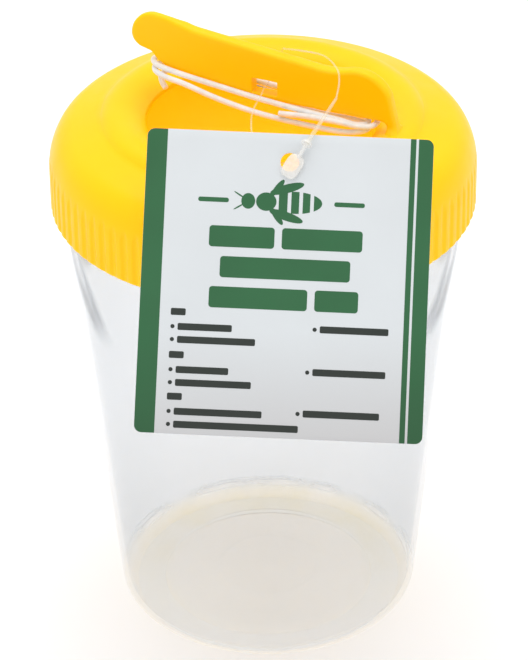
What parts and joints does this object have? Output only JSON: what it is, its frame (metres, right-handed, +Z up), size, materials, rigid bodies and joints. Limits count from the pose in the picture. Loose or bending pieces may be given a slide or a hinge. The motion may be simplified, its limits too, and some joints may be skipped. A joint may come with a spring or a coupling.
{
  "type": "wasp trap",
  "caption": "Hanging wasp trap: a clear bait cup closed by a yellow screw lid with an entrance funnel, a hanger plate wound with cord and a card tag.",
  "frame": {"origin": "centre of the cup's foot, on the plane it stands on", "axes": "+Z up along the common axis of the cup, funnel and lid; -Y towards the hang tag; +X towards the hanger plate's root"},
  "size_m": [0.098, 0.1241, 0.1499],
  "materials": {
    "clear_plastic": "clear, thin-walled polypropylene",
    "funnel_plastic": "moulded polypropylene, slightly translucent",
    "lid_plastic": "moulded polypropylene, satin gloss",
    "cord": "twisted white cotton",
    "card": "coated printed card",
    "nylon": "translucent nylon"
  },
  "bodies": {
    "cup": {"cup": "clear_plastic"},
    "funnel": {"entrance_funnel": "funnel_plastic"},
    "lid": {"lid": "lid_plastic", "hanging_cord": "cord", "loop_pin": "nylon"},
    "tag": {"hang_tag": "card"}
  },
  "joints": [
    {"name": "lid_lift", "type": "slide", "parent": "cup", "child": "funnel", "axis": [0, 0, 1], "range_m": [0, 0.00563]},
    {"name": "lid_turn", "type": "hinge", "parent": "funnel", "child": "lid", "pos_m": [0, 0, 0.12], "axis": [0, 0, 1], "range_deg": [0, 450]},
    {"name": "tag_swing", "type": "hinge", "parent": "lid", "child": "tag", "pos_m": [0.00579, -0.0378, 0.13707], "axis": [-0.9984, 0.0343, 0.0456], "range_deg": [0, 75], "deforming": ["loop_pin"]}
  ],
  "couplings": [
    {"joint": "lid_lift", "follows": "lid_turn", "m_per_rad": 0.0007162}
  ]
}
